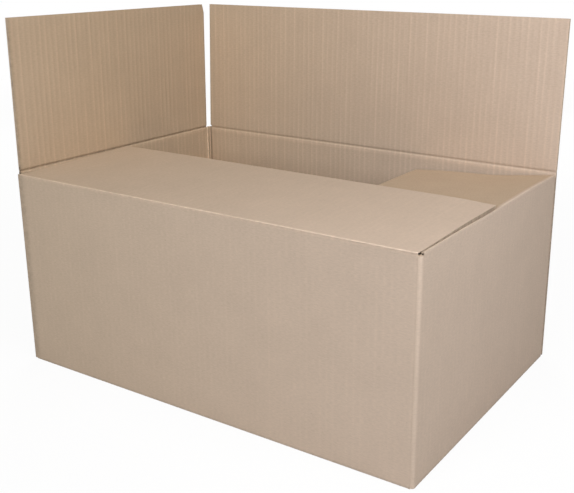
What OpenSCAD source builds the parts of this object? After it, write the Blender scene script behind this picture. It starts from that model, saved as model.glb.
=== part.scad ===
// Open shipping carton, folded from one blank of single-wall corrugated board.
// The bottom is shut and glued. At the top the front flap lies shut over the right flap,
// and the left and back flaps stand open. The flutes run upright through walls and flaps.
// Frame: origin on the floor under the carton's middle, X along the front wall, Y to the back, Z up.

/* [Carton] */
// Outside length of the front and back walls
carton_length = 450; // [300:5:700]
// Outside length of the left and right walls
carton_width = 300; // [200:5:420]
// Height of the front flap's score above the floor
carton_height = 200; // [120:5:400]
// How far the right flap's score lies below the front flap's
right_score_drop = 1.7; // [1.5:0.1:4]
// How far the back flap's score lies above the front flap's
back_score_rise = 2.4; // [2.3:0.1:6]
// How far the left flap's score lies above the front flap's
left_score_rise = 2.7; // [0.5:0.1:6]

/* [Board] */
// Thickness of the board
board = 3; // [2.4:0.1:4.5]
// Distance from one flute to the next
flute_pitch = 6.5; // [5:0.1:9]
// Thickness of each flat paper of the board
liner = 0.35; // [0.2:0.05:0.5]
// Thickness of the fluted paper between them
medium = 0.3; // [0.2:0.05:0.4]
// How far the flutes stand open behind a flap's free edge
flute_depth = 30; // [5:1:60]

/* [Folds] */
// Outside radius of the folds at the upright corners and along the bottom
corner_round = 3.2; // [1.5:0.1:3.3]
// Radius of the bead that the outside paper forms along a flap's score, about which the flap turns
score_bead = 0.6; // [0.4:0.1:1.2]
// Room between a flap and that bead, and between the crushed edges on each side of a score
score_clearance = 0.3; // [0.1:0.05:0.5]

/* [Flaps] */
// Gap between the free edges of the two long flaps when both are shut
flap_gap = 1; // [0.5:0.5:6]
// Angle of the front flap above level
front_tilt_angle = 1.2; // [1:0.1:4]
// Angle of the back flap outwards from upright
back_tilt_angle = 1.5; // [0:0.1:10]
// Angle of the left flap inwards from upright
left_tilt_angle = 0.7; // [0:0.1:0.8]
// Angle below level at which the right flap dips under the front flap
right_dip_angle = 28; // [27:0.5:34]
// Length of that dip, from the score
dip_length = 8; // [8:0.5:20]
// Angle of the right flap below level past its dip
right_sag_angle = 3.8; // [0:0.1:10]
// Width cut from the right flap's back edge at its free end
right_taper = 12; // [1:0.5:40]
// Width of the clipped back corner of the left flap
clip_width = 3; // [1:0.5:20]
// Height of that clipped corner
clip_height = 10; // [2:0.5:40]

/* [Slots] */
// From a corner fold back to the end of the front, and of the left flap, which end there
slot_lead = 3.3; // [3.3:0.1:5]
// From the left corner fold to the end of the back flap
back_slot_lead = 5; // [5:0.1:12]
// From a corner fold on to the start of the right, and of the left flap, which start there
slot_lag = 10; // [4.5:0.1:16]
// From the left corner fold to the start of the front flap
front_slot_lag = 5.3; // [5.3:0.1:12]
// Depth of each slot below the lower of the scores beside it
slot_drop = 0.5; // [0.3:0.1:6]
// Room between a flap's end and the corner fold beside it
slot_gap = 0.4; // [0.2:0.1:1]
// Gap between the right flap's back edge and the back wall
lap_flap_gap = 2; // [0.5:0.1:8]

/* [Lap] */
// Width of the glue lap that runs from the right wall along the inside of the back wall
lap_width = 35; // [20:1:60]
// Distance from the right wall's scores to the lap's ends, at its fold
lap_inset = 14; // [10:0.5:30]
// How much further in the lap's ends are at its free edge
lap_slant = 9; // [2:0.5:20]

/* [Hidden] */
$fn = 48;
KRAFT_OUTSIDE = "#bca88f";
KRAFT_INSIDE = "#ae977b";

// Sides, in turn round the carton
FRONT = "front";
RIGHT = "right";
BACK = "back";
LEFT = "left";
SIDES = [FRONT, RIGHT, BACK, LEFT];
QUARTER = 90;

// Overrun of all cuts past the faces that they open
overrun = 1;
// A flute is drawn in this many straight steps, and its foot is glued over this share of the pitch
FLUTE_STEPS = 6;
foot_share = 0.08;

// Reach of cuts that run past the carton's top
clear_height = 2 * carton_height;
flap_length = (carton_width - flap_gap) / 2;
// The board's middle, where the slots end at the bottom
slot_floor = board / 2;
// Swing of the fluted paper to each side of the board's middle
flute_swing = (board - medium) / 2 - liner;
// Bend of the right flap at the end of its dip, the length past it, and the mitre's share on the inside
bend_angle = right_dip_angle - right_sag_angle;
past_dip = flap_length - dip_length;
bend_mitre = board * tan(bend_angle / 2);

function is_long(side) = side == FRONT || side == BACK;
function next_side(side) = side == FRONT ? RIGHT : side == RIGHT ? BACK : side == BACK ? LEFT : FRONT;
// Turn of a side from the front
function side_turn(side) = side == FRONT ? 0 : side == RIGHT ? QUARTER : side == BACK ? 2 * QUARTER : -QUARTER;
// Distance from the carton's middle to a side's outside face, and half that side's own length
function side_reach(side) = (is_long(side) ? carton_width : carton_length) / 2;
function side_half(side) = (is_long(side) ? carton_length : carton_width) / 2;
function score_height(side) =
    side == FRONT ? carton_height
    : side == RIGHT ? carton_height - right_score_drop
    : side == BACK ? carton_height + back_score_rise
    : carton_height + left_score_rise;
// Top of the corner fold between a side and the next one
function fold_top(side) = min(score_height(side), score_height(next_side(side))) - slot_drop;
// The long bottom flaps lie on the floor and the short ones on top of them
function base_height(side) = is_long(side) ? 0 : board;
// The back panel is the blank's last one, so its end has no slot; the right flap stops short of the back wall
function flap_start(side) =
    (side == BACK ? 0 : side == FRONT ? front_slot_lag : slot_lag) - side_half(side);
function flap_end(side) =
    side_half(side) - (side == RIGHT ? board + lap_flap_gap : side == BACK ? back_slot_lead : slot_lead);
// Angle of a flap inwards from upright, and the bevel that lets its score fold that far
function flap_fold(side) =
    side == FRONT ? QUARTER - front_tilt_angle
    : side == RIGHT ? QUARTER + right_dip_angle
    : side == BACK ? -back_tilt_angle
    : left_tilt_angle;
function score_bevel(side) = max(QUARTER, flap_fold(side)) / 2;
// How far below a score the wall is crushed on the inside
function crush_depth(side) = score_clearance + board * tan(score_bevel(side));

// Turns a side's own frame into the carton's: X along the side, Y inwards from its outside face, Z up
module at_side(side) {
    rotate([0, 0, side_turn(side)]) translate([0, -side_reach(side), 0]) children();
}

// Extrudes a section drawn in a side's Y and Z along the side's X
module along_side(from, to) {
    translate([from, 0, 0]) rotate([QUARTER, 0, QUARTER]) linear_extrude(to - from) children();
}

// What a fold takes off a square outside corner at the origin
module fold_relief() {
    difference() {
        translate([-overrun, -overrun]) square(corner_round + overrun);
        translate([corner_round, corner_round]) circle(corner_round);
    }
}

// Section of the board beside a score at the origin, crushed to a bevel on the inside
module scored_board(side, reach) {
    polygon([
        [0, score_clearance],
        [board, crush_depth(side)],
        [board, reach],
        [0, reach],
    ]);
}

// Section of one panel: its wall up to the score's bead, the fold at its foot and its bottom flap
module panel_section(side) {
    base = base_height(side);
    score = score_height(side);
    difference() {
        union() {
            translate([0, score]) {
                mirror([0, 1]) scored_board(side, score - base);
                circle(score_bead);
            }
            translate([0, base]) square([flap_length, board]);
        }
        translate([0, base]) fold_relief();
    }
}

// One panel between its slots. The back panel's bottom flap stops short of its end by a slot
module panel(side) {
    difference() {
        along_side(flap_start(side), flap_end(side)) panel_section(side);
        if (side == BACK)
            along_side(flap_start(side) - overrun, flap_start(side) + slot_lead)
                polygon([
                    [-overrun, -overrun],
                    [flap_length + overrun, -overrun],
                    [flap_length + overrun, board],
                    [board, board],
                    [board, slot_floor],
                    [-overrun, slot_floor],
                ]);
    }
}

// Plan of the four walls. The right wall folds inside the end of the back panel, with the lap
module wall_loop() {
    difference() {
        square([carton_length, carton_width], center = true);
        square([carton_length - 2 * board, carton_width - 2 * board], center = true);
        for (turn_x = [0, 1])
            mirror([turn_x, 0])
                translate([-carton_length / 2, -carton_width / 2]) fold_relief();
        translate([-carton_length / 2, carton_width / 2]) mirror([0, 1]) fold_relief();
        translate([carton_length / 2, carton_width / 2 - board])
            rotate(2 * QUARTER) intersection() {
                fold_relief();
                translate([-overrun, 0]) square(corner_round + overrun);
            }
    }
}

// The board's room along a side between its slots, widened at both ends, from a height upwards
module panel_room(side, widening, height) {
    at_side(side)
        translate([flap_start(side) - widening, -overrun, height])
            cube([flap_end(side) - flap_start(side) + 2 * widening, board + overrun, clear_height]);
}

// The corner folds between the slots
module corner_posts() {
    difference() {
        for (side = SIDES)
            intersection() {
                translate([0, 0, slot_floor]) linear_extrude(fold_top(side) - slot_floor) wall_loop();
                at_side(side) cube([side_half(side), side_reach(side), clear_height]);
            }
        for (side = SIDES) {
            panel_room(side, 0, 0);
            panel_room(side, slot_gap, score_height(side) - crush_depth(side));
        }
    }
}

// The lap glued to the inside of the back wall, with slanted ends
module glue_lap() {
    fold_low = base_height(RIGHT) + lap_inset;
    fold_high = score_height(RIGHT) - lap_inset;
    translate([carton_length / 2 - board, carton_width / 2 - board, 0])
        rotate([QUARTER, 0, 0])
            linear_extrude(board)
                polygon([
                    [0, fold_low],
                    [0, fold_high],
                    [-lap_width, fold_high - lap_slant],
                    [-lap_width, fold_low + lap_slant],
                ]);
}

// Open flutes between two places along a flap: humps of the fluted paper, on one liner and the other by turns
module flute_mouths(from, to) {
    first = ceil(2 * from / flute_pitch) + 1;
    last = floor(2 * to / flute_pitch) - 1;
    for (half = [first : last])
        translate([half * flute_pitch / 2, board / 2])
            mirror([0, half % 2 == 0 ? 0 : 1])
                polygon([
                    [(foot_share - 1 / 2) * flute_pitch, liner - board / 2],
                    for (step = [0 : FLUTE_STEPS])
                        let (turn = (foot_share - 1 / 2) + (1 - 2 * foot_share) * step / FLUTE_STEPS)
                            [turn * flute_pitch, flute_swing * cos(4 * QUARTER * turn) - medium / 2],
                    [(1 / 2 - foot_share) * flute_pitch, liner - board / 2],
                ]);
}

// What opens a standing board's flutes at its free edge, between two places
module open_edge(reach, from, to) {
    translate([0, 0, reach - flute_depth]) linear_extrude(flute_depth + overrun) flute_mouths(from, to);
}

// The part of a flap that its section fills, clear of the score's bead
module flap_board(side) {
    along_side(flap_start(side), flap_end(side))
        difference() {
            children();
            circle(score_bead + score_clearance);
        }
}

// A flat flap standing upright on its score, with its free edge's flutes open between two places
module standing_flap(side, flutes_from, flutes_to) {
    difference() {
        flap_board(side) scored_board(side, flap_length);
        open_edge(flap_length, flutes_from, flutes_to);
    }
}

// Cuts a triangle off a standing board's free corner; width is along the score, positive towards its end
module corner_clip(reach, corner, width, height) {
    translate([corner, 0, reach])
        rotate([QUARTER, 0, 0])
            translate([0, 0, -board - overrun])
                linear_extrude(board + 2 * overrun)
                    polygon([
                        [width * (1 + overrun / height), overrun],
                        [-sign(width) * overrun, overrun],
                        [-sign(width) * overrun, -height * (1 + overrun / abs(width))],
                    ]);
}

// Sets a standing flap on its side's score at its fold
module folded(side) {
    at_side(side) translate([0, 0, score_height(side)]) rotate([-flap_fold(side), 0, 0]) children();
}

module carton_body() {
    color(KRAFT_OUTSIDE) {
        corner_posts();
        for (side = SIDES)
            at_side(side) panel(side);
        glue_lap();
    }
}

module front_flap() {
    color(KRAFT_OUTSIDE)
        folded(FRONT) standing_flap(FRONT, flap_start(FRONT), flap_end(FRONT));
}

module back_flap() {
    color(KRAFT_INSIDE)
        folded(BACK) standing_flap(BACK, flap_start(BACK), flap_end(BACK));
}

module left_flap() {
    color(KRAFT_INSIDE)
        folded(LEFT) difference() {
            standing_flap(LEFT, flap_start(LEFT) + clip_width, flap_end(LEFT));
            corner_clip(flap_length, flap_start(LEFT), clip_width, clip_height);
        }
}

// Section of the right flap, standing on its score: the dip, then the board past the bend
module dipped_board() {
    turn = bend_angle;
    polygon([
        [0, score_clearance],
        [board, crush_depth(RIGHT)],
        [board, dip_length + bend_mitre],
        for (depth = [board, 0])
            [depth * cos(turn) - past_dip * sin(turn), dip_length + depth * sin(turn) + past_dip * cos(turn)],
        [0, dip_length],
    ]);
}

module right_flap() {
    color(KRAFT_INSIDE)
        folded(RIGHT) difference() {
            flap_board(RIGHT) dipped_board();
            translate([0, 0, dip_length]) rotate([bend_angle, 0, 0]) {
                open_edge(past_dip, flap_start(RIGHT), flap_end(RIGHT) - right_taper);
                corner_clip(past_dip, flap_end(RIGHT), -right_taper, past_dip - board);
            }
        }
}

carton_body();
front_flap();
back_flap();
left_flap();
right_flap();
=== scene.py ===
"""Open shipping carton of corrugated kraft board, with one long flap shut over a tucked short one.

The walls and the bottom flaps are folded board with an outside and an inside face. The top flaps are two
liners with the fluted medium between them, creased at their scores. Sizes are in millimetres in the
carton's own frame; the meshes are in metres.
"""

import bisect
import logging
import math
from collections.abc import Callable, Sequence
from dataclasses import dataclass, field
from enum import Enum
from functools import partial
from typing import NamedTuple

import bmesh
import bpy
from mathutils import Matrix, Vector, noise


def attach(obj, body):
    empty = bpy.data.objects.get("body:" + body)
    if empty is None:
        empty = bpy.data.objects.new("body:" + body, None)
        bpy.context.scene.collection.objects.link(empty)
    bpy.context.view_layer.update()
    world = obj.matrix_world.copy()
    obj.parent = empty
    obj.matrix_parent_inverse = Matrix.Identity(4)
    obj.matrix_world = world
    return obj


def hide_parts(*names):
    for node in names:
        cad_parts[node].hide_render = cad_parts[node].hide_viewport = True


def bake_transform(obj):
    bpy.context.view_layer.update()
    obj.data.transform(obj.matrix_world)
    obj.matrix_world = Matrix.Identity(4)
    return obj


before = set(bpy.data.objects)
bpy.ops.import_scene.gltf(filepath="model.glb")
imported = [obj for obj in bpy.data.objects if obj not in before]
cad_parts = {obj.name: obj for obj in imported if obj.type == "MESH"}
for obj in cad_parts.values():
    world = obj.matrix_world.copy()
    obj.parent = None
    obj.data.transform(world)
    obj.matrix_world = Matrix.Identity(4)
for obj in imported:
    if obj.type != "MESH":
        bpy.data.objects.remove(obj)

logging.basicConfig(level=logging.INFO, format="%(message)s")
log = logging.getLogger("carton")

MM = 0.001
PHOTO_WIDTH, PHOTO_HEIGHT = 574, 493
WHITE = (1.0, 1.0, 1.0, 1.0)
# The middle of a noise's values, which a Map Range spreads out, as its inputs 1 and 2
NOISE_BROAD = {1: 0.3, 2: 0.7}
NOISE_NARROW = {1: 0.35, 2: 0.65}


class Face(Enum):
    """Which finish a face of the board takes; the value is its material slot."""

    OUTSIDE = 0
    INSIDE = 1
    CUT = 2


def smooth(low: float, high: float, value: float) -> float:
    """Eases from 0 at low to 1 at high.

    Args:
        low: Where the rise starts.
        high: Where it ends; it may lie below low.
        value: The place asked for.

    Returns:
        A share from 0 to 1.
    """
    t = min(1.0, max(0.0, (value - low) / (high - low)))
    return t * t * (3.0 - 2.0 * t)


def bump(centre: float, half_width: float, value: float) -> float:
    """Gives a rounded hump of height 1 about a centre, and 0 beyond its half width."""
    t = min(1.0, abs(value - centre) / half_width)
    return 0.5 * (1.0 + math.cos(math.pi * t))


def steps(*marks: tuple[float, float]) -> list[float]:
    """Lays out rows along a line.

    Args:
        marks: (end, spacing) pairs; the first gives the start, and its spacing isn't used.

    Returns:
        The rows' places, in order, with each end met exactly.
    """
    rows = [marks[0][0]]
    for end, spacing in marks[1:]:
        start = rows[-1]
        count = max(1, round(abs(end - start) / spacing))
        rows += [start + (end - start) * (i + 1) / count for i in range(count)]
    return rows


class Spot(NamedTuple):
    """A point of a sheet: where it is, its place on the unfolded blank, and how its paper has changed."""

    where: Vector
    across: float
    up: float
    # Above 0 the paper is whitened by a fold or lightened by a painted highlight on a bead or a groove's
    # rim; below
    # 0 it is darkened: painted shade in a groove, on the left fold and along the floor folds, and darker
    #                   paper at
    # cut ends and at the back's glue lap
    fold: float = 0.0
    # From 0, as made, to 1, the tucked flap's painted shade tone where it tilts away from the light
    tan: float = 0.0


Placing = Callable[[float, float], Spot]


class Side(Enum):
    """A side of the carton; the value is its turn from the front in quarters."""

    FRONT = 0
    RIGHT = 1
    BACK = 2
    LEFT = 3


@dataclass(frozen=True)
class Board:
    """Single-wall corrugated board."""

    thickness: float = 3.0
    pitch: float = 6.5
    liner: float = 0.35
    medium: float = 0.3
    # How far the liners sink between the flutes' tips
    outside_ripple: float = 0.03
    inside_ripple: float = 0.14
    # The ripple's usual strength, how far it varies, and over what length of flute
    ripple_mean: float = 0.75
    ripple_spread: float = 1.3
    ripple_length: float = 160.0
    # Steps through the ripple's noise from flute to flute and from face to face
    flute_step: float = 0.73
    face_step: float = 4.1

    def swing(self) -> float:
        """Half the height of the medium's wave."""
        return (self.thickness - self.medium) / 2 - self.liner

    def faces(self) -> tuple[tuple[float, Face], ...]:
        """Depth and finish of the board's two faces."""
        return (0.0, Face.OUTSIDE), (self.thickness, Face.INSIDE)

    def ripple(self, along: float, up: float, depth: float) -> float:
        """Gives how far the liners stand proud or sunk at a place on the sheet.

        Args:
            along: Place across the flutes.
            up: Place along the flutes.
            depth: Depth through the board from its outside face.

        Returns:
            The shift towards the inside.
        """
        inside = depth / self.thickness
        flute = along / self.pitch
        place = Vector((round(flute) * self.flute_step, up / self.ripple_length, self.face_step * inside))
        strength = self.ripple_mean + self.ripple_spread * noise.noise(place)
        height = self.outside_ripple * (1.0 - inside) + self.inside_ripple * inside
        return height * strength * math.cos(2 * math.pi * flute) * (1.0 - 2.0 * inside)


@dataclass(frozen=True)
class Blank:
    """The carton's folded blank: its sizes, and the frame of each side."""

    length: float = 450.0
    width: float = 300.0
    board: Board = Board()
    corner_round: float = 3.2
    flap_length: float = 149.5
    slot_floor: float = 1.0
    slot_drop: float = 0.5
    # Height of each side's score, and where its panel starts and ends along the side
    scores: dict[Side, float] = field(
        default_factory=lambda: {Side.FRONT: 200.0, Side.RIGHT: 198.3, Side.BACK: 202.4, Side.LEFT: 202.7}
    )
    spans: dict[Side, tuple[float, float]] = field(
        default_factory=lambda: {
            Side.FRONT: (-219.7, 221.7),
            Side.RIGHT: (-146.0, 145.0),
            Side.BACK: (-225.0, 220.0),
            Side.LEFT: (-140.0, 146.7),
        }
    )

    def quarter(self) -> float:
        """Length of sheet in the quarter turn of a fold."""
        return self.corner_round * math.pi / 2

    def is_long(self, side: Side) -> bool:
        """Whether a side is the front or the back."""
        return side in (Side.FRONT, Side.BACK)

    def half(self, side: Side) -> float:
        """Half a side's own length."""
        return (self.length if self.is_long(side) else self.width) / 2

    def reach(self, side: Side) -> float:
        """Distance from the carton's middle to a side's outside face."""
        return (self.width if self.is_long(side) else self.length) / 2

    def base(self, side: Side) -> float:
        """Height of a side's bottom flap: the short ones lie on the long ones."""
        return 0.0 if self.is_long(side) else self.board.thickness

    def at(self, side: Side, along: float, inwards: float, height: float) -> Vector:
        """Turns a place in a side's own frame into the carton's, in metres.

        Args:
            side: The side.
            along: Distance along it from its middle, to the right as seen from outside.
            inwards: Distance inwards from its outside face.
            height: Height above the floor.

        Returns:
            The place in the shared frame.
        """
        out = inwards - self.reach(side)
        x, y = {
            Side.FRONT: (along, out),
            Side.RIGHT: (-out, along),
            Side.BACK: (-along, -out),
            Side.LEFT: (out, -along),
        }[side]
        return Vector((x, y, height)) * MM

    def sheet_place(self, side: Side, along: float) -> float:
        """Distance along the unfolded blank, so that flutes and fibres run on round the corners."""
        start = {Side.FRONT: 0.0, Side.RIGHT: self.length, Side.BACK: self.length + self.width}
        return start.get(side, 2 * self.length + self.width) + along + self.half(side)


class BoardMesh:
    """A mesh under way: sheets of board, with their finishes and their place on the blank."""

    def __init__(self) -> None:
        """Starts an empty mesh with its sheet map and its marks."""
        self.bm = bmesh.new()
        self.sheet_map = self.bm.loops.layers.uv.new("sheet")
        self.fold_and_shade_mark = self.bm.verts.layers.float.new("fold")
        self.shade_tone_mark = self.bm.verts.layers.float.new("tan")

    def grid(
        self, columns: Sequence[float], rows: Sequence[float], place: Placing, finish: Face
    ) -> list[bmesh.types.BMFace]:
        """Adds one surface of a sheet.

        Args:
            columns: Places across the flutes.
            rows: Places along them.
            place: Gives the spot at a column and a row.
            finish: The surface's finish.

        Returns:
            The new faces.
        """
        made = bmesh.ops.create_grid(
            self.bm, x_segments=len(columns) - 1, y_segments=len(rows) - 1, size=1.0
        )
        on_blank = {}
        for vert in made["verts"]:
            i = round((vert.co.x + 1.0) / 2 * (len(columns) - 1))
            j = round((vert.co.y + 1.0) / 2 * (len(rows) - 1))
            spot = place(columns[i], rows[j])
            vert.co, vert[self.fold_and_shade_mark], vert[self.shade_tone_mark] = spot.where, spot.fold, spot.tan
            on_blank[vert] = (spot.across * MM, spot.up * MM)
        # Keys of a dict keep their order, so every run gives the same mesh
        faces = list(dict.fromkeys(face for vert in made["verts"] for face in vert.link_faces))
        for face in faces:
            face.material_index = finish.value
            face.smooth = True
            for loop in face.loops:
                loop[self.sheet_map].uv = on_blank[loop.vert]
        return faces

    def close(self, *surfaces: list[bmesh.types.BMFace]) -> None:
        """Joins two surfaces round their rims, as the board's cut edges.

        Args:
            surfaces: The faces of each surface.
        """
        rims = dict.fromkeys(
            edge for surface in surfaces for face in surface for edge in face.edges if edge.is_boundary
        )
        made = bmesh.ops.bridge_loops(self.bm, edges=list(rims))
        for face in made["faces"]:
            face.material_index = Face.CUT.value
            face.smooth = True
            for edge in face.edges:
                edge.smooth = edge not in rims
            for loop in face.loops:
                near = [other for other in loop.vert.link_loops if other.face not in made["faces"]]
                loop[self.sheet_map].uv = near[0][self.sheet_map].uv

    def sheet(
        self, columns: Sequence[float], rows: Sequence[float], surfaces: Sequence[tuple[Placing, Face]]
    ) -> None:
        """Adds a sheet of two surfaces, closed round their rims.

        Args:
            columns: Places across the flutes.
            rows: Places along them.
            surfaces: The placing and the finish of each surface.
        """
        self.close(*[self.grid(columns, rows, place, finish) for place, finish in surfaces])

    def done(self, name: str, finishes: Sequence[bpy.types.Material]) -> bpy.types.Object:
        """Turns the mesh into an object at the origin.

        Args:
            name: The piece's name.
            finishes: Its materials, in the order of Face.

        Returns:
            The new object.
        """
        bmesh.ops.recalc_face_normals(self.bm, faces=self.bm.faces)
        mesh = bpy.data.meshes.new(name)
        self.bm.to_mesh(mesh)
        self.bm.free()
        for finish in finishes:
            mesh.materials.append(finish)
        piece = bpy.data.objects.new(name, mesh)
        bpy.context.scene.collection.objects.link(piece)
        return piece


Tree = bpy.types.NodeTree
Socket = bpy.types.NodeSocket


def linear(hex_colour: str) -> tuple[float, float, float, float]:
    """Turns an sRGB hex colour into a linear one."""
    parts = [int(hex_colour[i : i + 2], 16) / 255 for i in (1, 3, 5)]
    return (*(p / 12.92 if p <= 0.04045 else ((p + 0.055) / 1.055) ** 2.4 for p in parts), 1.0)


def node(tree: Tree, kind: str, settings: dict | None = None, **links: Socket) -> bpy.types.Node:
    """Adds a node.

    Args:
        tree: The material's or world's tree.
        kind: The node's type, without its prefix.
        settings: Attributes of the node, and values of its inputs by name or number.
        links: Inputs by name (spaces as underscores, or in_0 for a number), with the socket that feeds each.

    Returns:
        The new node.
    """
    new = tree.nodes.new("ShaderNode" + kind)
    for name, value in (settings or {}).items():
        if hasattr(new, str(name)):
            setattr(new, name, value)
        else:
            new.inputs[name].default_value = value
    for name, socket in links.items():
        key = int(name[3:]) if name.startswith("in_") else name.replace("_", " ")
        tree.links.new(socket, new.inputs[key])
    return new


@dataclass(frozen=True)
class KraftFinish:
    """Unbleached kraft paper, calendered on a paper machine and glued to the flutes.

    To the eye it is a matt tan with cloudy formation, short fibres along the machine direction, some dark
    bark flecks, and faint bands where the glued flute tips show through.
    """

    name: str
    # The tone moves from the cool colour to the warm one along the blank, a painted tint of the light that
    # falls warmer on the left and cooler on the right; the last colour is the tucked flap's painted shade
    # tone
    cool: str
    warm: str
    shaded_tone: str
    # How far the glued tips stand out, and how far a fold mark changes the paper, its painted shade and
    # highlights included
    flute_share: float
    fold_share: float
    light_tint_mm: float = 1500.0
    warmest_light_mm: float = 1350.0
    cloud_mm: float = 38.0
    cloud_shades: tuple[float, float] = (0.965, 1.035)
    # Fibres lie along the machine direction, across the flutes, and are drawn coarser than real, to show
    fibre_mm: float = 1.1
    fibre_stretch: float = 0.3
    fibre_shades: tuple[float, float] = (0.93, 1.06)
    fibre_relief_mm: float = 0.05
    # Spacing of the flecks, the largest one's radius as a share of it, and how far one darkens the paper
    fleck_mm: float = 7.0
    fleck_radius: float = 0.075
    fleck_shade: float = 0.16
    rub_mm: float = 5.0
    rub_shares: tuple[float, float] = (0.45, 1.25)
    # The glued tips: their spacing, how narrow and how strong they are, and how that varies along a flute
    pitch_mm: float = Board.pitch
    tip_power: float = 3.0
    tip_gain: float = 3.0
    streak_mm: float = 110.0
    streak_shares: tuple[float, float] = (0.0, 1.6)

    def web(self, tree: Tree, mm: Socket) -> Socket:
        """Gives the paper's colour along the blank, with a painted tint of the light, warmer to the left and
        cooler to the right.

        Args:
            tree: The material's tree.
            mm: Place on the blank in millimetres.

        Returns:
            The colour, in the painted shade tone where the tucked flap tilts away from the light.
        """
        along = node(tree, "SeparateXYZ", Vector=mm)
        # Painted light: the tint is warmest at the left wall and coolest at the right wall
        turn_per_mm = math.tau / self.light_tint_mm
        tint_turn = node(
            tree,
            "Math",
            {"operation": "MULTIPLY_ADD", 1: turn_per_mm, 2: -turn_per_mm * self.warmest_light_mm},
            in_0=along.outputs["X"],
        )
        swing = node(tree, "Math", {"operation": "COSINE"}, in_0=tint_turn.outputs[0])
        tone = node(tree, "Math", {"operation": "MULTIPLY_ADD", 1: 0.5, 2: 0.5}, in_0=swing.outputs[0])
        ends = {"data_type": "RGBA", 6: linear(self.cool), 7: linear(self.warm)}
        made = node(tree, "Mix", ends, in_0=tone.outputs[0])
        # The tan mark carries the tucked flap's painted shade tone
        tan = node(tree, "Attribute", {"attribute_name": "tan"})
        paper = node(
            tree,
            "Mix",
            {"data_type": "RGBA", 7: linear(self.shaded_tone)},
            in_0=tan.outputs["Fac"],
            in_6=made.outputs["Result"],
        )
        return paper.outputs["Result"]

    def fibres(self, tree: Tree, mm: Socket) -> Socket:
        """Gives the fibres' noise, for their shade and their relief.

        Args:
            tree: The material's tree.
            mm: Place on the blank in millimetres.

        Returns:
            The noise.
        """
        scale = (self.fibre_stretch / self.fibre_mm, 1 / self.fibre_mm, 1.0)
        laid = node(tree, "Mapping", {"Scale": scale}, Vector=mm).outputs[0]
        fibre = node(tree, "TexNoise", {"Scale": 1.0, "Detail": 3.0, "Roughness": 0.6}, Vector=laid)
        return fibre.outputs[0]

    def formation(self, tree: Tree, mm: Socket) -> Socket:
        """Gives the shade of the paper's cloudy formation.

        Args:
            tree: The material's tree.
            mm: Place on the blank in millimetres.

        Returns:
            The shade, about 1.
        """
        clouds = {"Scale": 1 / self.cloud_mm, "Detail": 6.0, "Roughness": 0.74}
        cloud = node(tree, "TexNoise", clouds, Vector=mm)
        dark, light = self.cloud_shades
        return node(tree, "MapRange", NOISE_BROAD | {3: dark, 4: light}, Value=cloud.outputs[0]).outputs[0]

    def glued_tips(self, tree: Tree, mm: Socket) -> Socket:
        """Gives the shade of the glued tips, narrow lines that are stronger on some flutes than on others.

        Args:
            tree: The material's tree.
            mm: Place on the blank in millimetres.

        Returns:
            The shade, about 1.
        """
        bands = {
            "wave_type": "BANDS",
            "bands_direction": "X",
            # At a scale of 1 the bands repeat every pi / 10
            "Scale": math.pi / 10 / self.pitch_mm,
            "Distortion": 0.6,
            "Detail Scale": 0.3,
        }
        flute = node(tree, "TexWave", bands, Vector=mm)
        tips = node(tree, "Math", {"operation": "POWER", 1: self.tip_power}, in_0=flute.outputs["Fac"])
        stretch = node(tree, "Mapping", {"Scale": (1 / self.pitch_mm, 1 / self.streak_mm, 1.0)}, Vector=mm)
        uneven = node(tree, "TexNoise", {"Scale": 1.0, "Detail": 2.0}, Vector=stretch.outputs[0])
        faint, strong = self.streak_shares
        streak = node(tree, "MapRange", NOISE_NARROW | {3: faint, 4: strong}, Value=uneven.outputs[0])
        lines = node(tree, "Math", {"operation": "MULTIPLY"}, in_0=tips.outputs[0], in_1=streak.outputs[0])
        shade = {
            "operation": "MULTIPLY_ADD",
            1: self.tip_gain * self.flute_share,
            2: 1.0 - self.flute_share,
        }
        return node(tree, "Math", shade, in_0=lines.outputs[0]).outputs[0]

    def fold_marks(self, tree: Tree, mm: Socket) -> Socket:
        """Gives the shade of the fold marks, painted shade and highlights among them, broken up as rubbed
        paper is.

        Args:
            tree: The material's tree.
            mm: Place on the blank in millimetres.

        Returns:
            The shade, 1 where there is no mark.
        """
        fold = node(tree, "Attribute", {"attribute_name": "fold"})
        rub = node(tree, "TexNoise", {"Scale": 1 / self.rub_mm, "Detail": 3.0, "Roughness": 0.6}, Vector=mm)
        least, most = self.rub_shares
        rubbed = node(tree, "MapRange", NOISE_NARROW | {3: least, 4: most}, Value=rub.outputs[0]).outputs[0]
        mark = node(tree, "Math", {"operation": "MULTIPLY"}, in_0=fold.outputs["Fac"], in_1=rubbed)
        shade = {"operation": "MULTIPLY_ADD", 1: self.fold_share, 2: 1.0}
        return node(tree, "Math", shade, in_0=mark.outputs[0]).outputs[0]

    def flecks(self, tree: Tree, mm: Socket) -> Socket:
        """Gives the shade of the bark flecks.

        Args:
            tree: The material's tree.
            mm: Place on the blank in millimetres.

        Returns:
            The shade, 1 beside the flecks.
        """
        cells = node(tree, "TexVoronoi", {"Scale": 1 / self.fleck_mm, "Randomness": 1.0}, Vector=mm)
        radius = {"operation": "MULTIPLY", 1: self.fleck_radius}
        size = node(tree, "Math", radius, in_0=cells.outputs["Color"]).outputs[0]
        fleck = node(tree, "Math", {"operation": "LESS_THAN"}, in_0=cells.outputs["Distance"], in_1=size)
        shade = {"operation": "MULTIPLY_ADD", 1: -self.fleck_shade, 2: 1.0}
        return node(tree, "Math", shade, in_0=fleck.outputs[0]).outputs[0]

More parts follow.
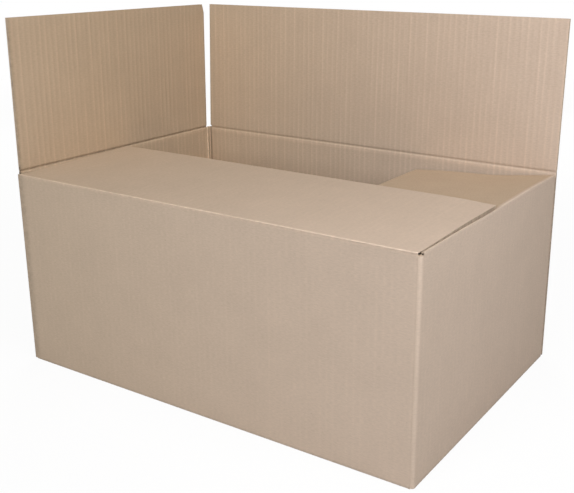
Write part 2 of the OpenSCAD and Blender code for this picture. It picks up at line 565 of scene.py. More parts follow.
    def build(self) -> bpy.types.Material:
        """Makes the material.

        Returns:
            The new material.
        """
        material = bpy.data.materials.new(self.name)
        material.use_nodes = True
        tree = material.node_tree
        tree.nodes.clear()
        sheet = node(tree, "UVMap", {"uv_map": "sheet"}).outputs[0]
        mm = node(tree, "Mapping", {"Scale": (1 / MM, 1 / MM, 1 / MM)}, Vector=sheet).outputs[0]
        fibre = self.fibres(tree, mm)
        dark, light = self.fibre_shades
        shade = node(tree, "MapRange", NOISE_BROAD | {3: dark, 4: light}, Value=fibre).outputs[0]
        for layer in (self.formation, self.glued_tips, self.fold_marks, self.flecks):
            factor = layer(tree, mm)
            shade = node(tree, "Math", {"operation": "MULTIPLY"}, in_0=shade, in_1=factor).outputs[0]
        colour = node(tree, "VectorMath", {"operation": "SCALE"}, in_0=self.web(tree, mm), Scale=shade)
        relief = node(tree, "Bump", {"Strength": 0.25, "Distance": self.fibre_relief_mm * MM}, Height=fibre)
        shader = node(
            tree,
            "BsdfPrincipled",
            {"Roughness": 0.88, "IOR": 1.45, "Specular IOR Level": 0.25},
            Base_Color=colour.outputs[0],
            Normal=relief.outputs[0],
        )
        node(tree, "OutputMaterial", Surface=shader.outputs[0])
        return material


OUTSIDE = KraftFinish("kraft_liner_outside", "#c7b2a0", "#c0ab94", "#baa38b", 0.006, 0.22)
INSIDE = KraftFinish("kraft_liner_inside", "#cab4a2", "#c6ad91", "#be9f86", 0.025, 0.16)
CUT = KraftFinish("kraft_cut_edge", "#c6b29d", "#c2ad96", "#b9a38c", 0.0, 0.34)


@dataclass
class Walls:
    """The four walls with their bottom flaps, the corner folds between them and the glue lap."""

    blank: Blank
    # How far below their scores the walls end, where the flaps' own board begins
    seam_drop: float = 6.0
    # Radius of the front score's round fold, and the distance within which its two long edges join
    bead: float = 0.75
    bead_join: float = 0.001
    # How far the front wall's paper swells, and the distances below its score where that starts and is full
    swell: float = 0.4
    swell_start: float = 7.0
    swell_full: float = 0.4
    # The swell's rise per millimetre from the score, less than the flap leaves free when it hangs open
    swell_slope: float = 0.06
    # How far below the front score the paper is whitened, and the wall's outside and inside end
    whitened: float = 3.0
    front_ends: tuple[float, float] = (0.3, 3.3)
    lap_width: float = 35.0
    lap_inset: float = 14.0
    lap_slant: float = 9.0
    row_spacing: float = 16.0
    # Height next to a panel's floor fold and score in which its rows lie closer
    close_rows: float = 12.0
    # The slot that ends the back panel's bottom flap: its width, the length over which that eases off, and
    # the places along the sheet between which it opens
    end_slot: float = 3.3
    end_slot_ease: float = 8.0
    end_slot_opens: tuple[float, float] = (3.9, 2.6)
    # Inside each upright fold the crushed board stands up in beads, each given by its distance past the
    # fold, height and half width, with grooves beside them
    corner_beads: tuple[tuple[float, float, float], ...] = ((0.9, 1.1, 1.3), (6.0, 1.4, 1.4))
    corner_grooves: tuple[float, ...] = (-5.9, 2.9)
    corner_groove: float = 0.7
    groove_half: float = 1.1
    # How far the beads are lightened, a painted highlight, and how far the grooves are darkened, a painted
    # shade
    bead_highlight: float = 2.4
    groove_shade: float = 1.6
    # Half width of the pressed part of an upright fold, as a share of its turn
    pressed_share: float = 0.9
    # How far the upright folds are rubbed white, the share of it at their foot, and the heights between
    # which it grows
    rubbed: float = 0.33
    rubbed_least: float = 0.1
    rubbed_heights: tuple[float, float] = (60.0, 190.0)
    # How far the fold to the glue lap runs on past its turn
    lap_fold_tail: float = 0.5
    # How far the paper is darkened on the left fold and the front wall's end next to it, a painted shade
    # where the fold turns away from the light, and at the back's glue lap; and the widths of the darkened
    # paper on the front wall and on the back wall
    darkened: float = 1.0
    darkened_width: float = 8.0
    darkened_back_width: float = 2.0
    # Power that squares the outside of the floor folds, where 1 is a round fold
    foot_square: float = 0.3
    # How far the outside of the floor folds is darkened, a painted contact shadow along the foot
    foot_shade: float = 0.9
    # How far the paper of the near corner stands up above its lower score
    near_corner_rise: float = 0.1
    # How far the short walls' floor fold hangs below their bottom flaps, the share of its turn over which
    # that starts, and the height above it over which it ends
    foot_drop: float = 2.6
    foot_drop_start: float = 0.3
    foot_drop_height: float = 14.0

    def columns(self, start: float, end: float) -> list[float]:
        """Columns four to a flute."""
        return steps((start, 0.0), (end, self.blank.board.pitch / 4))

    def wall_spot(self, side: Side, depth: float, along: float, up: float) -> Spot:
        """Places one point of a panel, from its bottom flap's end round the floor fold and up the wall.

        Args:
            side: The panel's side.
            depth: Depth of the surface in the board.
            along: Place along the side.
            up: Place along the sheet, with 0 at the floor fold.

        Returns:
            The spot.
        """
        blank = self.blank
        base, radius, quarter = blank.base(side), blank.corner_round, blank.quarter()
        if side is Side.BACK:
            along = self.stop_short(along, up)
        across = blank.sheet_place(side, along)
        into = depth + blank.board.ripple(across, up, depth)
        if up < 0.0:
            return Spot(blank.at(side, along, radius - up, base + into), across, up)
        fold = 0.0
        hang = self.hang(side, depth, up)
        if up < quarter:
            # Outside, the floor fold is darkened by a painted contact shadow
            if depth == 0.0:
                fold = -self.foot_shade * bump(quarter / 2, quarter, up)
            turn = up / radius
            reach = radius - into
            square = 1.0 if depth else self.foot_square
            inwards = radius - reach * math.sin(turn) ** square
            height = base + radius - reach * math.cos(turn) ** square - hang
            return Spot(blank.at(side, along, inwards, height), across, up, fold)
        height = base + radius + up - quarter - hang
        past = along - blank.spans[side][0]
        if side is Side.BACK:
            fold = -self.darkened * smooth(self.darkened_back_width, 0.0, past)
        if side is Side.FRONT:
            score = blank.scores[side]
            near = smooth(score - self.swell_start, score - self.swell_full, height)
            fold = smooth(score - self.whitened, score, height)
            # Painted shade darkens the front wall towards the left fold, which turns away from the light
            fold -= self.darkened * smooth(self.darkened_width, 0.0, past)
            rise = min(self.swell * near, self.swell_slope * max(0.0, score - height))
            into -= rise * (1.0 - depth / blank.board.thickness)
        return Spot(blank.at(side, along, into, height), across, up, fold)

    def hang(self, side: Side, depth: float, up: float) -> float:
        """How far the outside of a short wall's floor fold hangs down.

        Args:
            side: The wall's side.
            depth: Depth through the board.
            up: Place along the sheet, with 0 at the floor fold.

        Returns:
            The drop, 0 on the long walls and on the inside.
        """
        if depth or self.blank.is_long(side):
            return 0.0
        quarter = self.blank.quarter()
        begun = smooth(0.0, self.foot_drop_start * quarter, up)
        return self.foot_drop * begun * smooth(quarter + self.foot_drop_height, quarter, up)

    def stop_short(self, along: float, up: float) -> float:
        """Ends the back panel's bottom flap a slot short of the right wall's fold.

        Args:
            along: A place along the back panel.
            up: Its place along the sheet, with 0 at the floor fold.

        Returns:
            The place, moved away from the panel's end.
        """
        left = 1.0 - (along + self.blank.half(Side.BACK)) / self.end_slot_ease
        return along + self.end_slot * max(0.0, left) * smooth(*self.end_slot_opens, up)

    def panel(self, mesh: BoardMesh, side: Side) -> None:
        """Adds one wall with its bottom flap.

        Args:
            mesh: The walls' mesh.
            side: The wall's side.
        """
        blank = self.blank
        quarter = blank.quarter()
        rise = blank.scores[side] - blank.base(side) - blank.corner_round + quarter
        flat = blank.corner_round - blank.flap_length
        low, high = self.close_rows, rise - self.close_rows
        columns = self.columns(*blank.spans[side])
        surfaces = []
        for (depth, finish), front_end in zip(blank.board.faces(), self.front_ends):
            rows = steps((flat, 0.0), (-2.0, 36.0), (0.0, 2.0), (quarter, quarter / 6), (low, 4.0))
            rows += steps((low, 0.0), (high, self.row_spacing), (rise - self.seam_drop, 2.0))[1:]
            if side is Side.FRONT:
                last, top = rows[-1], rise - front_end
                rows += [last + (top - last) * share for share in (0.25, 0.5, 0.75, 1.0)]
            surfaces.append(mesh.grid(columns, rows, partial(self.wall_spot, side, depth), finish))
        mesh.close(*surfaces)

    def turn_start(self, side: Side) -> float:
        """Where along a side the upright fold at its end starts to turn."""
        # The right wall folds inside the back panel's end, so its fold lies a board's thickness further in
        inset = self.blank.board.thickness if side is Side.RIGHT else 0.0
        return self.blank.half(side) - inset - self.blank.corner_round

    def corner_spot(self, side: Side, depth: float, along: float, up: float) -> Spot:
        """Places one point of an upright fold.

        Args:
            side: The side that the fold ends.
            depth: Depth of the surface in the board.
            along: Place along the sheet, which runs on from the side's own places.
            up: Height above the floor.

        Returns:
            The spot.
        """
        blank = self.blank
        radius, quarter, turn_at = blank.corner_round, blank.quarter(), self.turn_start(side)
        across = blank.sheet_place(side, along)
        into = depth + blank.board.ripple(across, up, depth)
        past = along - turn_at - quarter
        pressed = bump(turn_at + quarter / 2, quarter * self.pressed_share, along)
        # The folds are rubbed white, and the left one is darkened with painted shade, as it turns away from
        # the light
        upper = (1.0 - self.rubbed_least) * smooth(*self.rubbed_heights, up)
        fold = self.rubbed * pressed * (self.rubbed_least + upper)
        if side is Side.LEFT:
            fold = -self.darkened
        if depth:
            lip = max(high * bump(at, half, past) for at, high, half in self.corner_beads)
            groove = max(bump(at, self.groove_half, past) for at in self.corner_grooves)
            into += lip - self.corner_groove * max(groove, pressed)
            # Inside, the beads take a painted highlight and the grooves beside them a painted shade
            fold = self.bead_highlight * lip - self.groove_shade * groove
        if along <= turn_at:
            where = blank.at(side, along, into, up)
        elif along <= turn_at + quarter:
            turn = (along - turn_at) / radius
            reach = radius - into
            where = blank.at(side, turn_at + reach * math.sin(turn), radius - reach * math.cos(turn), up)
        else:
            where = blank.at(side, turn_at + radius - into, radius + past, up)
        return Spot(where, across, up, fold)

    def corner(self, mesh: BoardMesh, side: Side) -> None:
        """Adds the upright fold from a side to the next one.

        Args:
            mesh: The walls' mesh.
            side: The side that the fold ends.
        """
        blank = self.blank
        follower = Side((side.value + 1) % len(Side))
        start, turn_at = blank.spans[side][1], self.turn_start(side)
        turned = turn_at + blank.quarter()
        tail = self.lap_fold_tail
        if side is not Side.RIGHT:
            tail = blank.spans[follower][0] + blank.half(follower) - blank.corner_round
        top = min(blank.scores[side], blank.scores[follower]) - blank.slot_drop
        if side is Side.FRONT:
            top += self.near_corner_rise
        path = steps((start, 0.0), (turn_at, 0.35)) if turn_at > start + 0.2 else [turn_at]
        path += steps((turn_at, 0.0), (turned, 0.6), (turned + tail, 0.4))[1:]
        rows = steps((blank.slot_floor, 0.0), (top - 6.0, self.row_spacing), (top, 1.5))
        surfaces = [
            (partial(self.corner_spot, side, depth), finish) for depth, finish in blank.board.faces()
        ]
        mesh.sheet(path, rows, surfaces)

    def lap_start(self) -> float:
        """Where along the back wall the glue lap starts."""
        return -self.blank.half(Side.BACK) + self.blank.board.thickness

    def lap_spot(self, inwards: float, along: float, share: float) -> Spot:
        """Places one point of the glue lap.

        Args:
            inwards: Distance inwards from the back wall's outside face.
            along: Place along the back wall.
            share: Place up the lap, from 0 to 1.

        Returns:
            The spot.
        """
        blank = self.blank
        low = blank.base(Side.RIGHT) + self.lap_inset
        high = blank.scores[Side.RIGHT] - self.lap_inset
        slant = self.lap_slant * (along - self.lap_start()) / self.lap_width
        height = low + slant + (high - low - 2 * slant) * share
        where = blank.at(Side.BACK, along, inwards, height)
        return Spot(where, blank.sheet_place(Side.BACK, along), height)

    def glue_lap(self, mesh: BoardMesh) -> None:
        """Adds the lap glued to the back wall's inside, with slanted ends.

        Args:
            mesh: The walls' mesh.
        """
        board = self.blank.board
        columns = self.columns(self.lap_start(), self.lap_start() + self.lap_width)
        surfaces = [
            (partial(self.lap_spot, board.thickness + depth), finish) for depth, finish in board.faces()
        ]
        mesh.sheet(columns, steps((0.0, 0.0), (1.0, 0.1)), surfaces)

    def bead_spot(self, along: float, turn: float) -> Spot:
        """Places one point of the front score's bead.

        Args:
            along: Place along the front wall.
            turn: Angle round the bead.

        Returns:
            The spot.
        """
        blank = self.blank
        score = blank.scores[Side.FRONT]
        height = score + self.bead * math.sin(turn)
        where = blank.at(Side.FRONT, along, self.bead * math.cos(turn), height)
        return Spot(where, blank.sheet_place(Side.FRONT, along), score + self.bead * turn, 1.0)

    def front_bead(self, mesh: BoardMesh) -> None:
        """Adds the round fold of the outside liner on the front flap's score.

        Args:
            mesh: The walls' mesh.
        """
        columns = self.columns(*self.blank.spans[Side.FRONT])
        turns = steps((-math.pi, 0.0), (math.pi, math.pi / 10))
        faces = mesh.grid(columns, turns, self.bead_spot, Face.OUTSIDE)
        round_bead = dict.fromkeys(vert for face in faces for vert in face.verts)
        bmesh.ops.remove_doubles(mesh.bm, verts=list(round_bead), dist=self.bead_join * MM)
        ends = [edge for edge in mesh.bm.edges if edge.is_boundary]
        bmesh.ops.holes_fill(mesh.bm, edges=ends, sides=0)

    def build(self, finishes: Sequence[bpy.types.Material]) -> bpy.types.Object:
        """Builds the walls' piece, which stands for the carton's solid.

        Args:
            finishes: The board's materials, in the order of Face.

        Returns:
            The piece.
        """
        mesh = BoardMesh()
        for side in Side:
            self.panel(mesh, side)
            self.corner(mesh, side)
        self.glue_lap(mesh)
        self.front_bead(mesh)
        piece = mesh.done("carton_walls", finishes)
        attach(piece, "carton")
        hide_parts("carton_body")
        return piece


@dataclass
class Flap:
    """A top flap: two liners and the fluted medium between them, open at the free edge."""

    blank: Blank
    side: Side
    # Fold inwards from upright, in degrees
    fold: float
    body: str
    # Where the flap's own board begins, along the sheet from the score
    start: float = -6.0
    # Half the length of sheet in which the fold turns
    turn_half: float = 1.5
    # The score's groove: its depth on each face, half width, and place along the sheet from the axis
    groove_inside: float = 1.0
    groove_outside: float = 0.45
    groove_half: float = 2.2
    groove_at: float = 0.0
    # How dark the score's groove is, as a fold mark, and the dark part's place in it and half width
    groove_shade: float = 1.2
    groove_dark: tuple[float, float] = (0.2, 1.2)
    # How far the groove's lower rim is lightened, a painted highlight where it faces up to the light, and
    # the lit part's place and half width
    rim_highlight: float = 0.7
    rim_highlight_span: tuple[float, float] = (-3.0, 3.0)
    # How far the score is whitened on the outside, and the white part's place and half width
    outside_whitening: float = 0.6
    outside_white: tuple[float, float] = (0.0, 2.5)
    clip_width: float = 0.0
    clip_height: float = 0.0
    # How much further the flap's end reaches at the score than at the free edge, over what width, and the
    # places along the sheet between which that starts
    end_lean: float = 0.0
    lean_width: float = 20.0
    lean_start: tuple[float, float] = (0.4, 2.0)
    # How far in from the flap's ends the cut flute's own wall shows
    web_inset: float = 0.5
    # How far the paper is darkened towards the cut ends, as a fold mark, and the distances from them between
    # which that grows
    darkened_ends: float = 0.0
    darkened_width: tuple[float, float] = (4.0, 1.0)
    # Where the fluted medium starts, past the score, and how far short of the free edge it ends
    medium_start: float = 4.0
    medium_short: float = 0.4
    # Half the length of sheet either side of the score; attach works out its ends but uses neither
    bend_half: float = 2.4

    def end_darkening(self, along: float) -> float:
        """How far the paper is darkened at a place, most at the cut ends."""
        start, end = self.blank.spans[self.side]
        return self.darkened_ends * smooth(*self.darkened_width, min(along - start, end - along))

    def section(self, along: float, up: float, depth: float) -> tuple[float, float]:
        """Places a point of the flap's cross-section.

        Args:
            along: Place along the score.
            up: Distance along the sheet from the score; negative is still the wall.
            depth: Depth through the board.

        Returns:
            The distance inwards and the height, relative to the score.
        """
        turn = math.radians(self.fold) * smooth(-self.turn_half, self.turn_half, up)
        return (
            up * math.sin(turn) + depth * math.cos(turn),
            up * math.cos(turn) - depth * math.sin(turn),
        )

    def crease(self, up: float, depth: float) -> float:
        """How far the score presses a surface into the board.

        Args:
            up: Distance along the sheet from the score.
            depth: Depth through the board.

        Returns:
            The shift towards the inside.
        """
        inside = depth / self.blank.board.thickness
        pressed = bump(self.groove_at, self.groove_half, up)
        return self.groove_outside * pressed * (1.0 - inside) - self.groove_inside * pressed * inside

    def worn(self, along: float, up: float, depth: float) -> float:
        """How far the score has whitened the paper outside; inside, its painted highlight on the groove's
        lower rim and painted shade in the groove.

        Args:
            along: Place along the score.
            up: Distance along the sheet from the score.
            depth: Depth through the board.

        Returns:
            The spot's fold mark.
        """
        if depth < self.blank.board.thickness / 2:
            return self.outside_whitening * bump(*self.outside_white, up)
        past = up - self.groove_at
        # Inside, a painted highlight on the groove's lower rim and a painted shade in the groove
        rim = self.rim_highlight * bump(*self.rim_highlight_span, past)
        return rim - self.groove_shade * bump(*self.groove_dark, past) - self.end_darkening(along)

    def shaded_tone(self, up: float, depth: float) -> float:
        """How far the paper takes the tucked flap's painted shade tone; a standing flap takes none."""
        return 0.0

    def trim(self, along: float, up: float) -> float:
        """Lowers the free edge where a corner is clipped.

        Args:
            along: Place along the score.
            up: Distance along the sheet from the score.

        Returns:
            The distance with the clip taken off.
        """
        top, drawn = self.blank.flap_length, 2 * self.clip_height
        if not self.clip_width or up < top - drawn:
            return up
        cut = self.clip_height * max(0.0, 1.0 - (along - self.blank.spans[self.side][0]) / self.clip_width)
        return up - cut * (up - top + drawn) / drawn

    def lean(self, along: float, up: float) -> float:
        """Moves a place out where the flap's end leans, over its last few flutes.

        Args:
            along: Place along the score.
            up: Distance along the sheet from the score.

        Returns:
            The place, moved.
        """
        near = smooth(-self.lean_width, 0.0, along - self.blank.spans[self.side][1])
        shift = self.end_lean * near * smooth(*self.lean_start, up)
        return along + shift * (1.0 - up / self.blank.flap_length)

    def spot(self, depth: float, wave: float, along: float, up: float) -> Spot:
        """Places one point of a surface.

        Args:
            depth: The surface's depth in the board.
            wave: Swing of the fluted medium about that depth, or 0 on a liner.
            along: Place along the score.
            up: Distance along the sheet from the score.

        Returns:
            The spot.
        """
        blank = self.blank
        score = blank.scores[self.side]
        up = self.trim(along, up)
        along = self.lean(along, up)
        across = blank.sheet_place(self.side, along)
        flute = math.cos(2 * math.pi * across / blank.board.pitch)
        into = depth + wave * flute + self.crease(up, depth)
        if not wave:
            into += blank.board.ripple(across, score + up, depth)
        inwards, height = self.section(along, up, into)
        where = blank.at(self.side, along, inwards, score + height)
        return Spot(where, across, score + up, self.worn(along, up, depth), self.shaded_tone(up, depth))

    def web_spot(self, along: float, depth: float, up: float) -> Spot:
        """Places one point of the flute's wall that a cut end runs along, between the two liners."""
        return self.spot(depth, 0.0, along, up)

    def rows(self) -> list[float]:
        """Lays out the rows along the sheet, close together at the score.

        Returns:
            The rows' distances from the score.
        """
        length = self.blank.flap_length
        near = ((self.start, 0.0), (-3.0, 1.5), (3.0, 0.5), (8.0, 1.7), (20.0, 6.0))
        return steps(*near, (length - 12.0, 16.0), (length, 4.0))

    def medium_rows(self) -> list[float]:
        """Rows of the fluted medium along the sheet, few because a standing flap is flat."""
        length = self.blank.flap_length
        return steps((self.medium_start, 0.0), (length - 20.0, 60.0), (length - self.medium_short, 20.0))

    def build(self, finishes: Sequence[bpy.types.Material]) -> bpy.types.Object:
        """Builds the flap's piece.

        Args:
            finishes: The board's materials, in the order of Face.

        Returns:
            The piece.
        """
        board = self.blank.board
        mesh = BoardMesh()
        start, end = self.blank.spans[self.side]
        columns = steps((start, 0.0), (end, board.pitch / 4))
        rows = self.rows()
        for paper in (
            ((0.0, Face.OUTSIDE), (board.liner, Face.CUT)),
            ((board.thickness - board.liner, Face.CUT), (board.thickness, Face.INSIDE)),
        ):
            surfaces = [(partial(self.spot, depth, 0.0), finish) for depth, finish in paper]
            mesh.sheet(columns, rows, surfaces)
        middle, half = board.thickness / 2, board.medium / 2
        waves = steps((start, 0.0), (end, board.pitch / 8))
        deep = self.medium_rows()
        surfaces = [
            (partial(self.spot, depth, board.swing()), Face.CUT) for depth in (middle - half, middle + half)
        ]
        mesh.sheet(waves, deep, surfaces)
        depths = steps((board.liner, 0.0), (board.thickness - board.liner, 0.8))
        for web in (start + self.web_inset, end - self.web_inset):
            surfaces = [(partial(self.web_spot, along), Face.CUT) for along in (web - half, web + half)]
            mesh.sheet(depths, deep, surfaces)
        piece = mesh.done(f"{self.side.name.lower()}_flap_board", finishes)
        self.attach(piece)
        return piece

    def attach(self, piece: bpy.types.Object) -> None:
        """Bakes the piece's place into its mesh and hides the flap's body.

        Args:
            piece: The flap's piece.
        """
        score = self.blank.scores[self.side]
        low = self.blank.at(self.side, 0.0, 0.0, score - self.bend_half)
        high = self.blank.at(self.side, 0.0, 0.0, score + self.bend_half)
        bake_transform(piece)
        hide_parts(self.body)


@dataclass
class ShutFlap(Flap):
    """The front flap, shut at rest: it turns on the bead of the front wall's score."""

    # Where the flap's outside begins past the score, and how much further in its inside does
    root: float = 0.7
    bevel: float = 2.6
    # How far the paper swells towards the bead, and the distances between which that grows
    swell: float = 0.4
    swell_width: tuple[float, float] = (7.0, 0.4)
    swell_slope: float = 0.06
    whitened: float = 3.0
    darkened_ends: float = 1.0
    # How far the free corner over the right wall hangs down, the places along the score between which that
    # grows, and the place along the sheet where it starts
    droop: float = 1.3
    droop_along: tuple[float, float] = (180.0, 222.0)
    droop_start: float = 75.0

    def section(self, along: float, up: float, depth: float) -> tuple[float, float]:
        """Places a point of the flap's cross-section.

        Args:
            along: Place along the score.
            up: Distance along the sheet from its root.
            depth: Depth through the board.

        Returns:
            The distance inwards and the height, relative to the score.
        """
        turn = math.radians(self.fold)
        length = self.blank.flap_length
        first = self.root + self.bevel * depth / self.blank.board.thickness
        up = first + (length - first) * up / length
        droop = self.droop * smooth(*self.droop_along, along) * smooth(self.droop_start, length, up)
        return (
            up * math.sin(turn) + depth * math.cos(turn),
            up * math.cos(turn) - depth * math.sin(turn) - droop,
        )

    def crease(self, up: float, depth: float) -> float:
        """Raises the outside liner towards the bead."""
        rise = min(self.swell * smooth(*self.swell_width, up), self.swell_slope * (self.root + up))
        return -rise * (1.0 - depth / self.blank.board.thickness)

    def worn(self, along: float, up: float, depth: float) -> float:
        """How far the fold has whitened the outside at the flap's root, or how far the paper is darkened
        towards the cut ends.
        """
        return smooth(self.whitened, 0.0, up) if depth == 0.0 else -self.end_darkening(along)

    def rows(self) -> list[float]:
        """Rows along the sheet, from its root to its free edge."""
        length = self.blank.flap_length
        return steps((0.0, 0.0), (8.0, 1.0), (20.0, 6.0), (length - 12.0, 16.0), (length, 4.0))

    def attach(self, piece: bpy.types.Object) -> None:
        """Rides the piece on the flap's body."""
        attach(piece, self.body)
        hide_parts(self.body)


@dataclass
class TuckedFlap(Flap):
    """The right flap, tucked under the front one: it dips at its score and then sags in a shallow bow."""

    turn_half: float = 0.8
    # Slope below level at the score, where the front flap presses it and where it lies free, and the places
    # along the fold between which it changes
    pressed: float = 28.0
    free: float = 10.0
    pressed_along: tuple[float, float] = (-10.0, -60.0)
    # Places along the fold between which the front flap's end leaves it free
    free_along: tuple[float, float] = (-15.0, 10.0)
    # Slope of the bow below level, the places along the sheet between which the dip passes into it, and how
    # it changes further on: from where, to where, by how much
    bow: float = 5.6
    bow_start: tuple[float, float] = (4.0, 12.0)
    bow_changes: tuple[tuple[float, float, float], ...] = ((55.0, 75.0, -4.2), (105.0, 125.0, 2.6))
    # Places along the sheet between which the rolled fold sinks back, pressed and free, and the free share
    sunk_pressed: tuple[float, float] = (0.5, 4.0)
    sunk_free: tuple[float, float] = (3.0, 60.0)
    sunk_share: float = 0.8
    # Whitening of the crest where it is pressed, what it gains where it is free, its place and half width
    crest_whitening: float = 0.25
    crest_gain: float = 0.35
    crest_white: tuple[float, float] = (0.2, 1.0)
    # Places along the sheet between which the paper beyond the fold takes the painted shade tone
    shade_tone_span: tuple[float, float] = (1.0, 5.0)
    # How much narrower the free edge is than the score
    taper: float = 12.0
    # Places along the fold, and how far it rolls up above its score there
    crest: tuple[tuple[float, float], ...] = (
        (-146.0, 2.3),
        (-112.0, 2.5),
        (-75.0, 2.3),
        (-35.0, 1.9),
        (-5.0, 1.5),
        (25.0, 2.1),
        (85.0, 2.3),
        (145.0, 1.3),
    )
    profiles: dict[float, list[tuple[float, float, float]]] = field(default_factory=dict)

    def free_share(self, along: float) -> float:
        """From 0, where the front flap lies beside the fold, to 1, where the fold is free."""
        return smooth(*self.free_along, along)

    def roll(self, along: float) -> float:
        """How far the fold rolls up.

        Args:
            along: Place along the fold.

        Returns:
            The height above the score.
        """
        for (low, before), (high, after) in zip(self.crest, self.crest[1:]):
            if along <= high:
                return before + (after - before) * smooth(low, high, along)
        return self.crest[-1][1]

    def slope(self, up: float, dip: float) -> float:
        """Turn of the sheet inwards from upright.

        Args:
            up: Distance along the sheet from the score.
            dip: Slope below level next to the score, in degrees.

        Returns:
            The turn in radians.
        """
        bow = self.bow
        for low, high, change in self.bow_changes:
            bow += change * smooth(low, high, up)
        level = dip + (bow - dip) * smooth(*self.bow_start, up)
        return math.radians((self.fold + level) * smooth(-self.turn_half, self.turn_half, up))

    def profile(self, dip: float) -> list[tuple[float, float, float]]:
        """Walks along the sheet.

        Args:
            dip: Slope below level next to the score, in degrees.

        Returns:
            The distance along the sheet, inwards and up at each step.
        """
        if dip not in self.profiles:
            inwards, height = 0.0, -self.turn_half
            walk = [(-self.turn_half, inwards, height)]
            for up in steps((-self.turn_half, 0.0), (14.0, 0.2), (self.blank.flap_length + 1.0, 2.0))[1:]:
                step = up - walk[-1][0]
                turn = self.slope(up - step / 2, dip)
                inwards, height = inwards + step * math.sin(turn), height + step * math.cos(turn)
                walk.append((up, inwards, height))
            self.profiles[dip] = walk
        return self.profiles[dip]

    def section(self, along: float, up: float, depth: float) -> tuple[float, float]:
        """Places a point of the flap's cross-section.

        Args:
            along: Place along the score.
            up: Distance along the sheet from the score; negative is still the wall.
            depth: Depth through the board.

        Returns:
            The distance inwards and the height, relative to the score.
        """
        free = self.free_share(along)
        sunk = (1.0 - free) * smooth(*self.sunk_pressed, up)
        sunk += free * self.sunk_share * smooth(*self.sunk_free, up)
        lift = self.roll(along) * smooth(self.start, -self.turn_half, up) * (1.0 - sunk)
        if up <= -self.turn_half:
            return depth, up + lift
        dip = round(self.free + (self.pressed - self.free) * smooth(*self.pressed_along, along), 1)
        walk = self.profile(dip)
        after = bisect.bisect_left(walk, (up,))
        before = walk[after - 1]
        share = (up - before[0]) / (walk[after][0] - before[0])
        inwards, height = (low + (high - low) * share for low, high in zip(before[1:], walk[after][1:]))
        turn = self.slope(up, dip)
        return inwards + depth * math.cos(turn), height + lift - depth * math.sin(turn)

    def medium_rows(self) -> list[float]:
        """Rows of the fluted medium along the sheet, close enough to follow its bow."""
        length, first = self.blank.flap_length, (self.medium_start, 0.0)
        return steps(first, (16.0, 1.0), (length - 20.0, 8.0), (length - self.medium_short, 10.0))

    def worn(self, along: float, up: float, depth: float) -> float:
        """How far the fold has whitened the paper on its crest."""
        whitening = self.crest_whitening + self.crest_gain * self.free_share(along)
        return whitening * bump(*self.crest_white, up) if depth == 0.0 else 0.0

    def shaded_tone(self, up: float, depth: float) -> float:
        """How far the paper beyond the fold takes the painted shade tone, as it tilts away from the light.
        """
        return smooth(*self.shade_tone_span, up) if depth == 0.0 else 0.0

    def spot(self, depth: float, wave: float, along: float, up: float) -> Spot:
        """Places one point of a surface, narrowed towards the free end at the back.

        Args:
            depth: The surface's depth in the board.
            wave: Swing of the fluted medium about that depth, or 0 on a liner.
            along: Place along the score.
            up: Distance along the sheet from the score.

        Returns:
            The spot.
        """
        start, end = self.blank.spans[self.side]
        cut = self.taper * max(0.0, up) / self.blank.flap_length
        narrowed = start + (along - start) * (end - start - cut) / (end - start)
        return super().spot(depth, wave, narrowed, up)

    def attach(self, piece: bpy.types.Object) -> None:
        """Rides the piece on the carton, since the front flap holds it down."""
        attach(piece, "carton")
        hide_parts("right_flap")


@dataclass(frozen=True)
class Lamp:
    """A soft square lamp; its angle from the front, towards the right, and its height are in degrees."""

    name: str
    azimuth: float
    elevation: float
    distance: float
    size: float
    energy: float
    colour: tuple[float, float, float] = (1.0, 1.0, 1.0)


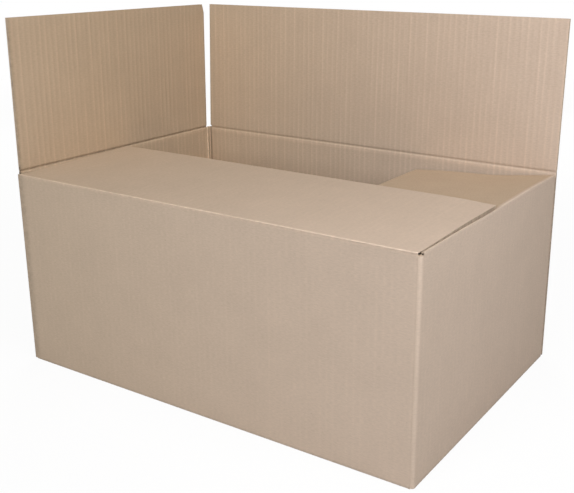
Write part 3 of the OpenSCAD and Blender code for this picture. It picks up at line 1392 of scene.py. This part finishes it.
@dataclass(frozen=True)
class Studio:
    """Camera, light and floor."""

    position: tuple[float, float, float] = (499.04, -710.76, 411.64)
    azimuth: float = 32.894
    elevation: float = 16.899
    roll: float = 0.125
    focal_px: float = 890.89
    centre_px: tuple[float, float] = (320.66, 223.65)
    sensor: float = 36.0
    clip: tuple[float, float] = (0.01, 100.0)
    ambient: float = 0.12
    ambient_colour: tuple[float, float, float, float] = (0.98, 1.0, 1.02, 1.0)
    aim: tuple[float, float, float] = (0.0, 0.0, 0.15)
    lamps: tuple[Lamp, ...] = (
        Lamp("front", 2.0, 26.0, 1.5, 0.8, 10.1, (0.98, 1.0, 1.025)),
        Lamp("near_right", 66.0, 34.0, 0.9, 0.5, 3.2, (0.95, 1.0, 1.06)),
        Lamp("right", 80.0, 30.0, 0.95, 0.5, 1.2, (1.03, 1.0, 0.96)),
        Lamp("top", 40.0, 80.0, 1.5, 1.0, 4.3, (1.1, 1.0, 0.86)),
        Lamp("back", 205.0, 14.0, 1.6, 0.8, 8.0),
        Lamp("left", -140.0, 14.0, 1.5, 0.8, 7.5),
    )
    floor_size: float = 40.0
    floor_glow: float = 0.93
    # The floor as it is seen, and darker as it lights the carton, which a white sheet would light too much
    floor_seen: str = "#fafafa"
    floor_lighting: str = "#d8d8d8"
    # Distances from the carton between which the floor fades into the white backdrop
    fade_start: float = 0.7
    fade_end: float = 2.4

    def camera(self) -> None:
        """Makes the camera at the photo's place."""
        data = bpy.data.cameras.new("camera")
        data.sensor_width = self.sensor
        data.lens = self.focal_px * self.sensor / PHOTO_WIDTH
        data.shift_x = (PHOTO_WIDTH / 2 - self.centre_px[0]) / PHOTO_WIDTH
        data.shift_y = (self.centre_px[1] - PHOTO_HEIGHT / 2) / PHOTO_WIDTH
        data.clip_start, data.clip_end = self.clip
        camera = bpy.data.objects.new("camera", data)
        turn = (
            Matrix.Rotation(math.radians(self.azimuth), 4, "Z")
            @ Matrix.Rotation(math.radians(90.0 - self.elevation), 4, "X")
            @ Matrix.Rotation(math.radians(self.roll), 4, "Z")
        )
        camera.matrix_world = Matrix.Translation(Vector(self.position) * MM) @ turn
        bpy.context.scene.collection.objects.link(camera)
        bpy.context.scene.camera = camera

    def hang(self, lamp: Lamp) -> None:
        """Hangs a soft square lamp that faces the carton.

        Args:
            lamp: The lamp.
        """
        data = bpy.data.lights.new(lamp.name, "AREA")
        data.size, data.energy, data.color = lamp.size, lamp.energy, lamp.colour
        hung = bpy.data.objects.new(lamp.name, data)
        turn = math.radians(lamp.azimuth)
        rise = math.radians(lamp.elevation)
        level = math.cos(rise)
        away = Vector((math.sin(turn) * level, -math.cos(turn) * level, math.sin(rise)))
        hung.location = Vector(self.aim) + away * lamp.distance
        hung.rotation_euler = (-away).to_track_quat("-Z", "Y").to_euler()
        bpy.context.scene.collection.objects.link(hung)

    def seen_white(self, tree: Tree) -> Socket:
        """Picks out the rays that see the background straight, in a gloss or through glass.

        Args:
            tree: The material's or world's tree.

        Returns:
            1 for those rays, or else 0.
        """
        path = node(tree, "LightPath").outputs
        seen = path["Is Camera Ray"]
        for ray in ("Is Glossy Ray", "Is Transmission Ray"):
            seen = node(tree, "Math", {"operation": "MAXIMUM"}, in_0=seen, in_1=path[ray]).outputs[0]
        return seen

    def world(self) -> None:
        """Lights the room evenly and shows it white."""
        world = bpy.data.worlds.new("studio")
        bpy.context.scene.world = world
        world.use_nodes = True
        tree = world.node_tree
        tree.nodes.clear()
        light = node(tree, "Background", {"Color": self.ambient_colour, "Strength": self.ambient})
        white = node(tree, "Background", {"Color": WHITE, "Strength": 1.0})
        seen = self.seen_white(tree)
        shown = node(tree, "MixShader", Fac=seen, in_1=light.outputs[0], in_2=white.outputs[0])
        node(tree, "OutputWorld", Surface=shown.outputs[0])

    def floor(self) -> None:
        """Lays the pale floor, which keeps the carton's shadow."""
        bm = bmesh.new()
        bmesh.ops.create_grid(bm, x_segments=1, y_segments=1, size=self.floor_size / 2)
        mesh = bpy.data.meshes.new("floor")
        bm.to_mesh(mesh)
        bm.free()
        material = bpy.data.materials.new("white_paper_backdrop")
        material.use_nodes = True
        tree = material.node_tree
        tree.nodes.clear()
        seen = self.seen_white(tree)
        tones = {"data_type": "RGBA", 6: linear(self.floor_lighting), 7: linear(self.floor_seen)}
        paper = node(tree, "BsdfDiffuse", Color=node(tree, "Mix", tones, in_0=seen).outputs["Result"])
        glow = node(tree, "Emission", {"Color": WHITE, "Strength": 1.0})
        place = node(tree, "TexCoord")
        away = node(tree, "VectorMath", {"operation": "LENGTH"}, in_0=place.outputs["Object"])
        fade = node(
            tree,
            "MapRange",
            {1: self.fade_start, 2: self.fade_end, 3: self.floor_glow, 4: 1.0},
            Value=away.outputs["Value"],
        )
        share = node(tree, "Math", {"operation": "MULTIPLY"}, in_0=fade.outputs[0], in_1=seen)
        shown = node(tree, "MixShader", Fac=share.outputs[0], in_1=paper.outputs[0], in_2=glow.outputs[0])
        node(tree, "OutputMaterial", Surface=shown.outputs[0])
        mesh.materials.append(material)
        floor = bpy.data.objects.new("floor", mesh)
        bpy.context.scene.collection.objects.link(floor)

    def build(self) -> None:
        """Sets up the whole studio."""
        bpy.context.scene.view_settings.view_transform = "Standard"
        self.camera()
        self.world()
        self.floor()
        for lamp in self.lamps:
            self.hang(lamp)


def main() -> None:
    """Builds the carton's pieces and the studio round them."""
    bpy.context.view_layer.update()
    blank = Blank()
    finishes = [finish.build() for finish in (OUTSIDE, INSIDE, CUT)]
    back = {"end_lean": 1.6, "groove_at": -0.8, "groove_shade": 0.3, "groove_inside": 0.75}
    left = {"clip_width": 3.0, "clip_height": 10.0, "groove_shade": 2.2, "darkened_ends": 0.8}
    for maker in (
        Walls(blank),
        ShutFlap(blank, Side.FRONT, 88.8, "front_flap"),
        TuckedFlap(blank, Side.RIGHT, 90.0, "carton"),
        Flap(blank, Side.BACK, -1.5, "back_flap", **back),
        Flap(blank, Side.LEFT, 0.7, "left_flap", **left),
    ):
        piece = maker.build(finishes)
        log.info("%s: %d faces", piece.name, len(piece.data.polygons))
    Studio().build()
    bpy.context.view_layer.update()


if __name__ == "__main__":
    main()
